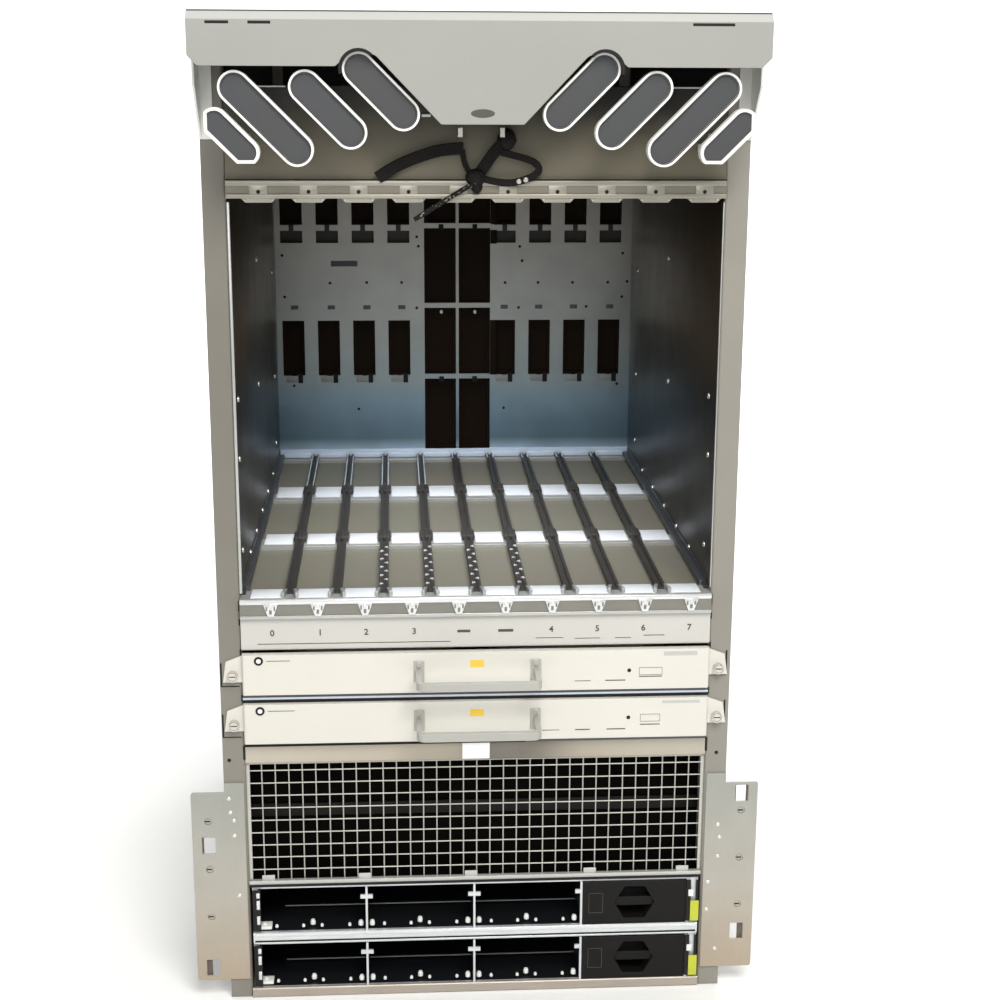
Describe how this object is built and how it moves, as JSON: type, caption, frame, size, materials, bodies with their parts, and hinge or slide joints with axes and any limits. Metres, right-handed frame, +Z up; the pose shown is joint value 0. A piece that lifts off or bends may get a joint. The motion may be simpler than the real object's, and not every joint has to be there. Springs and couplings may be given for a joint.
{
  "type": "router chassis",
  "caption": "Tall rack router chassis without cards: open card cage with guides and backplane, slanted lozenges under a hood, pull-out fan trays, intake grille and power bays.",
  "frame": {"origin": "middle of the chassis's bounding box on the ground it stands on", "axes": "+Z up, the front with the card slots looks along -Y, +X to the right as seen from the front"},
  "size_m": [0.546, 0.7276, 0.9334],
  "materials": {
    "column_paint": "satin",
    "hood_paint": "satin",
    "panel_paint": "satin",
    "case_steel": "satin",
    "rack_zinc": "satin",
    "lozenge_rim": "satin",
    "lozenge_mesh": "matte",
    "cage_zinc": "satin",
    "floor_panel": "satin",
    "guide_plastic": "satin",
    "cream_paint": "satin",
    "backplane_steel": "satin",
    "header_plastic": "matte",
    "board_laminate": "satin",
    "fan_aluminium": "satin",
    "rotor_plastic": "satin",
    "handle_metal": "satin",
    "screw_nickel": "satin",
    "shelf_paint": "satin",
    "header_paint": "satin",
    "wire_steel": "satin",
    "filter_foam": "matte",
    "tray_steel": "satin",
    "blank_paint": "matte",
    "inlet_plastic": "matte",
    "hook_steel": "satin",
    "strap_web": "matte",
    "lanyard_braid": "matte"
  },
  "bodies": {
    "chassis": {"side_panel_left": "column_paint", "side_panel_right": "column_paint", "hood": "hood_paint", "hood_brackets": "hood_paint", "upper_front_panel": "panel_paint", "base_pan": "case_steel", "top_cover": "case_steel", "rear_cover": "case_steel", "rear_exhaust_grille": "case_steel", "plenum_deck": "case_steel", "rack_plate_left": "rack_zinc", "rack_plate_right": "rack_zinc", "vent_lozenges": "lozenge_rim", "lozenge_screens": "lozenge_mesh", "cage_top_rail": "cage_zinc", "cage_floor": "cage_zinc", "cage_ceiling": "cage_zinc", "cage_sill": "cage_zinc", "airflow_screen": "floor_panel", "floor_guides": "guide_plastic", "ceiling_guides": "guide_plastic", "slot_strip": "cream_paint", "backplane_plate_left": "backplane_steel", "backplane_plate_right": "backplane_steel", "backplane_centre_bars": "backplane_steel", "backplane_connectors": "header_plastic", "backplane_board": "board_laminate", "fan_shelf": "shelf_paint", "filter_header": "header_paint", "intake_grille": "wire_steel", "air_filter": "filter_foam", "power_tray_upper": "tray_steel", "power_tray_lower": "tray_steel", "power_inlets": "inlet_plastic", "strap_hooks": "hook_steel", "tie_straps": "strap_web", "band_loop": "strap_web", "lanyard": "lanyard_braid"},
    "fan_tray_upper": {"fan_frame_upper": "fan_aluminium", "fan_face_upper": "cream_paint", "fan_handle_upper": "handle_metal", "fan_screws_upper": "screw_nickel"},
    "fan_tray_lower": {"fan_frame_lower": "fan_aluminium", "fan_face_lower": "cream_paint", "fan_handle_lower": "handle_metal", "fan_screws_lower": "screw_nickel"},
    "rotor_upper_1": {"rotor_upper_1": "rotor_plastic"},
    "rotor_upper_2": {"rotor_upper_2": "rotor_plastic"},
    "rotor_upper_3": {"rotor_upper_3": "rotor_plastic"},
    "rotor_upper_4": {"rotor_upper_4": "rotor_plastic"},
    "rotor_upper_5": {"rotor_upper_5": "rotor_plastic"},
    "rotor_upper_6": {"rotor_upper_6": "rotor_plastic"},
    "rotor_lower_1": {"rotor_lower_1": "rotor_plastic"},
    "rotor_lower_2": {"rotor_lower_2": "rotor_plastic"},
    "rotor_lower_3": {"rotor_lower_3": "rotor_plastic"},
    "rotor_lower_4": {"rotor_lower_4": "rotor_plastic"},
    "rotor_lower_5": {"rotor_lower_5": "rotor_plastic"},
    "rotor_lower_6": {"rotor_lower_6": "rotor_plastic"},
    "power_blank_upper": {"power_blank_upper": "blank_paint"},
    "power_blank_lower": {"power_blank_lower": "blank_paint"}
  },
  "joints": [
    {"name": "fan_tray_upper_slide", "type": "slide", "parent": "chassis", "child": "fan_tray_upper", "axis": [0, -1, 0], "range_m": [0, 0.5]},
    {"name": "fan_tray_lower_slide", "type": "slide", "parent": "chassis", "child": "fan_tray_lower", "axis": [0, -1, 0], "range_m": [0, 0.5]},
    {"name": "rotor_upper_1_spin", "type": "hinge", "parent": "fan_tray_upper", "child": "rotor_upper_1", "pos_m": [-0.102, -0.19185, 0.334], "axis": [0, 0, 1], "continuous": true},
    {"name": "rotor_upper_2_spin", "type": "hinge", "parent": "fan_tray_upper", "child": "rotor_upper_2", "pos_m": [0.102, -0.19185, 0.334], "axis": [0, 0, 1], "continuous": true},
    {"name": "rotor_upper_3_spin", "type": "hinge", "parent": "fan_tray_upper", "child": "rotor_upper_3", "pos_m": [-0.102, -0.01385, 0.334], "axis": [0, 0, 1], "continuous": true},
    {"name": "rotor_upper_4_spin", "type": "hinge", "parent": "fan_tray_upper", "child": "rotor_upper_4", "pos_m": [0.102, -0.01385, 0.334], "axis": [0, 0, 1], "continuous": true},
    {"name": "rotor_upper_5_spin", "type": "hinge", "parent": "fan_tray_upper", "child": "rotor_upper_5", "pos_m": [-0.102, 0.16415, 0.334], "axis": [0, 0, 1], "continuous": true},
    {"name": "rotor_upper_6_spin", "type": "hinge", "parent": "fan_tray_upper", "child": "rotor_upper_6", "pos_m": [0.102, 0.16415, 0.334], "axis": [0, 0, 1], "continuous": true},
    {"name": "rotor_lower_1_spin", "type": "hinge", "parent": "fan_tray_lower", "child": "rotor_lower_1", "pos_m": [-0.102, -0.19185, 0.285], "axis": [0, 0, 1], "continuous": true},
    {"name": "rotor_lower_2_spin", "type": "hinge", "parent": "fan_tray_lower", "child": "rotor_lower_2", "pos_m": [0.102, -0.19185, 0.285], "axis": [0, 0, 1], "continuous": true},
    {"name": "rotor_lower_3_spin", "type": "hinge", "parent": "fan_tray_lower", "child": "rotor_lower_3", "pos_m": [-0.102, -0.01385, 0.285], "axis": [0, 0, 1], "continuous": true},
    {"name": "rotor_lower_4_spin", "type": "hinge", "parent": "fan_tray_lower", "child": "rotor_lower_4", "pos_m": [0.102, -0.01385, 0.285], "axis": [0, 0, 1], "continuous": true},
    {"name": "rotor_lower_5_spin", "type": "hinge", "parent": "fan_tray_lower", "child": "rotor_lower_5", "pos_m": [-0.102, 0.16415, 0.285], "axis": [0, 0, 1], "continuous": true},
    {"name": "rotor_lower_6_spin", "type": "hinge", "parent": "fan_tray_lower", "child": "rotor_lower_6", "pos_m": [0.102, 0.16415, 0.285], "axis": [0, 0, 1], "continuous": true},
    {"name": "power_blank_upper_slide", "type": "slide", "parent": "chassis", "child": "power_blank_upper", "axis": [0, -1, 0], "range_m": [0, 0.085]},
    {"name": "power_blank_lower_slide", "type": "slide", "parent": "chassis", "child": "power_blank_lower", "axis": [0, -1, 0], "range_m": [0, 0.085]}
  ]
}
